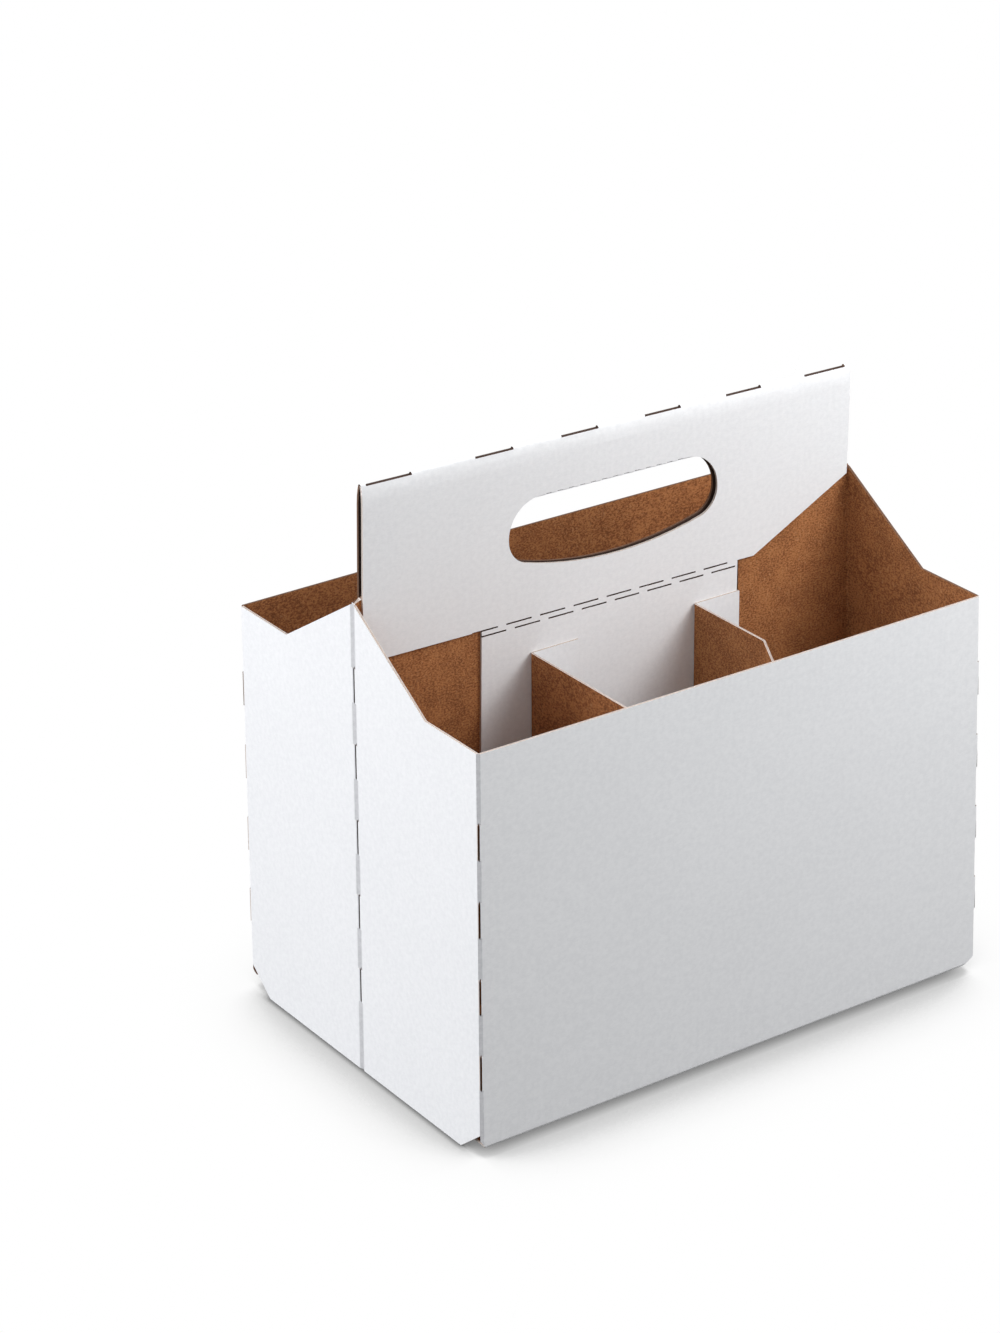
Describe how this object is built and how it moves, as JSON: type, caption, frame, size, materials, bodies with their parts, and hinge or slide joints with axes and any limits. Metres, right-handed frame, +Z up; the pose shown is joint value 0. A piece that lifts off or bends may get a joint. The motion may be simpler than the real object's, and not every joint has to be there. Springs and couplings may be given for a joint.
{
  "type": "bottle carrier",
  "caption": "Folded board carrier with an open box in cells, a two-ply centre handle with a D-shaped hand hole, and perforated folds.",
  "frame": {"origin": "middle of the footprint, on the surface that the carrier stands on", "axes": "+X along the carrier and its handle, +Y across it, +Z up"},
  "size_m": [0.1946, 0.13, 0.1952],
  "materials": {
    "board": "matte white outside, brown inside"
  },
  "bodies": {
    "root": {"carrier": "board"}
  },
  "joints": []
}
